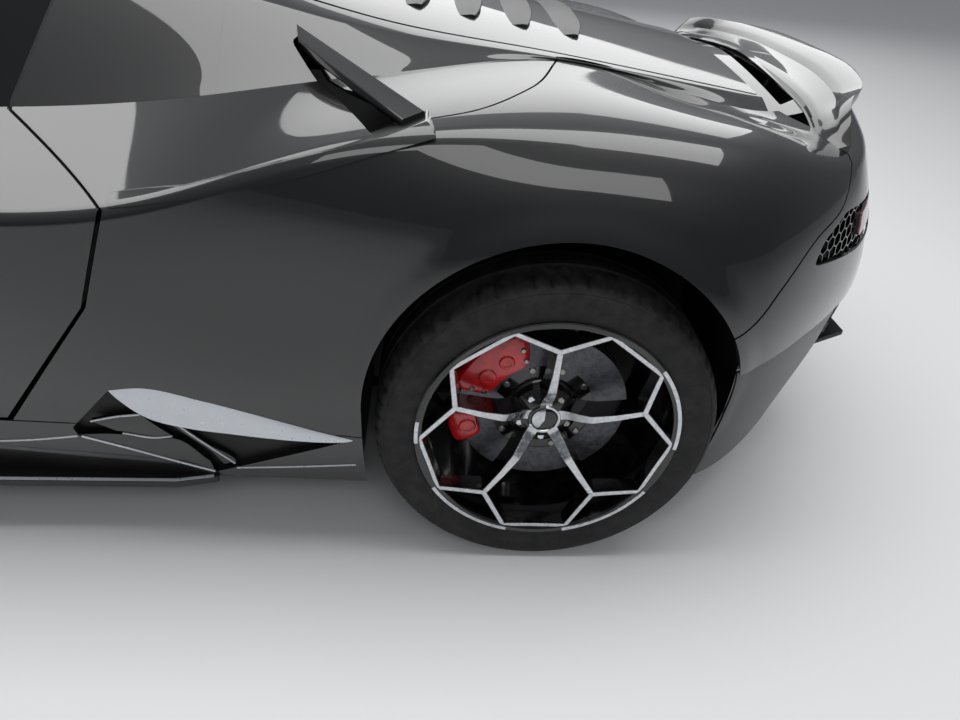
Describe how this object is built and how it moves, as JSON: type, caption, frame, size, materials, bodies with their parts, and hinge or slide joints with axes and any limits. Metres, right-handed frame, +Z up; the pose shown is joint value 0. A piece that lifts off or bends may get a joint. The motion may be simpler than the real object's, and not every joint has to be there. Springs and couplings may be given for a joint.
{
  "type": "supercar",
  "caption": "Low mid-engined two-seat sports car with a wedge profile, wide rear wings, scooped flanks, spoked alloy wheels and hinged doors, bonnet and engine lid.",
  "frame": {"origin": "on the ground, halfway along the car and on its centre plane", "axes": "+X to the nose, +Y to the car's left side, +Z up"},
  "size_m": [4.498, 1.984, 1.1643],
  "materials": {
    "arm_alloy": "forged aluminium",
    "body_paint": "gloss black paint under clear lacquer",
    "caliper_red": "gloss red paint",
    "carbon_trim": "satin black moulding",
    "dark_plastic": "grained black plastic",
    "disc_iron": "turned cast iron",
    "engine_cast": "cast aluminium",
    "exhaust_steel": "brushed steel",
    "glass_tint": "tinted glass",
    "interior_leather": "black leather",
    "lamp_clear": "clear lamp lens",
    "lamp_red": "red lamp lens",
    "rim_alloy": "machined faces over dark paint",
    "shaft_steel": "machined steel",
    "tub_carbon": "satin composite",
    "tyre_rubber": "black tyre rubber",
    "vane_black": "gloss black moulding",
    "wheel_trim": "black leather"
  },
  "bodies": {
    "chassis": {"arch_liners": "dark_plastic", "cowl": "dark_plastic", "dashboard": "interior_leather", "deck_sides": "body_paint", "diffuser": "carbon_trim", "diffuser_cheeks": "carbon_trim", "engine_block": "engine_cast", "exhaust_tips": "exhaust_steel", "front_bumper": "body_paint", "front_wings": "body_paint", "grilles": "dark_plastic", "half_shafts": "shaft_steel", "headlamps": "lamp_clear", "luggage_well": "dark_plastic", "quarter_panels": "body_paint", "rear_bumper": "body_paint", "rear_calipers": "caliper_red", "rear_glass": "glass_tint", "rear_knuckles": "arm_alloy", "roof": "body_paint", "seats": "interior_leather", "side_vanes": "vane_black", "sills": "carbon_trim", "spoiler": "carbon_trim", "steering_wheel": "wheel_trim", "suspension_arms": "arm_alloy", "tail_lamps": "lamp_red", "tub": "tub_carbon", "underfloor": "dark_plastic", "windscreen": "glass_tint"},
    "door_left": {"door_left": "body_paint", "door_glass_left": "glass_tint", "mirror_left": "body_paint"},
    "door_right": {"door_right": "body_paint", "door_glass_right": "glass_tint", "mirror_right": "body_paint"},
    "bonnet": {"bonnet": "body_paint"},
    "engine_lid": {"engine_lid": "body_paint"},
    "steer_left": {"knuckle_front_left": "arm_alloy", "caliper_front_left": "caliper_red"},
    "steer_right": {"knuckle_front_right": "arm_alloy", "caliper_front_right": "caliper_red"},
    "wheel_front_left": {"tyre_front_left": "tyre_rubber", "rim_front_left": "rim_alloy", "disc_front_left": "disc_iron"},
    "wheel_front_right": {"tyre_front_right": "tyre_rubber", "rim_front_right": "rim_alloy", "disc_front_right": "disc_iron"},
    "wheel_rear_left": {"tyre_rear_left": "tyre_rubber", "rim_rear_left": "rim_alloy", "disc_rear_left": "disc_iron"},
    "wheel_rear_right": {"tyre_rear_right": "tyre_rubber", "rim_rear_right": "rim_alloy", "disc_rear_right": "disc_iron"}
  },
  "joints": [
    {"name": "door_left_hinge", "type": "hinge", "parent": "chassis", "child": "door_left", "pos_m": [0.918, 0.924, 0.575], "axis": [0, 0, -1], "range_deg": [0, 56]},
    {"name": "door_right_hinge", "type": "hinge", "parent": "chassis", "child": "door_right", "pos_m": [0.918, -0.924, 0.575], "axis": [0, 0, 1], "range_deg": [0, 56]},
    {"name": "bonnet_hinge", "type": "hinge", "parent": "chassis", "child": "bonnet", "pos_m": [1.074, 0, 0.79], "axis": [0, -1, 0], "range_deg": [0, 50]},
    {"name": "engine_lid_hinge", "type": "hinge", "parent": "chassis", "child": "engine_lid", "pos_m": [-0.665, 0, 1.04], "axis": [0, 1, 0], "range_deg": [0, 50]},
    {"name": "steer_left_pivot", "type": "hinge", "parent": "chassis", "child": "steer_left", "pos_m": [1.28, 0.78, 0.3275], "axis": [0, 0, 1], "range_deg": [-28, 28]},
    {"name": "steer_right_pivot", "type": "hinge", "parent": "chassis", "child": "steer_right", "pos_m": [1.28, -0.78, 0.3275], "axis": [0, 0, 1], "range_deg": [-28, 28]},
    {"name": "wheel_front_left_spin", "type": "hinge", "parent": "steer_left", "child": "wheel_front_left", "pos_m": [1.28, 0.82, 0.3275], "axis": [0, 1, 0], "continuous": true},
    {"name": "wheel_front_right_spin", "type": "hinge", "parent": "steer_right", "child": "wheel_front_right", "pos_m": [1.28, -0.82, 0.3275], "axis": [0, 1, 0], "continuous": true},
    {"name": "wheel_rear_left_spin", "type": "hinge", "parent": "chassis", "child": "wheel_rear_left", "pos_m": [-1.34, 0.795, 0.345], "axis": [0, 1, 0], "continuous": true},
    {"name": "wheel_rear_right_spin", "type": "hinge", "parent": "chassis", "child": "wheel_rear_right", "pos_m": [-1.34, -0.795, 0.345], "axis": [0, 1, 0], "continuous": true}
  ],
  "couplings": [
    {"joint": "steer_right_pivot", "follows": "steer_left_pivot", "ratio": 1}
  ]
}
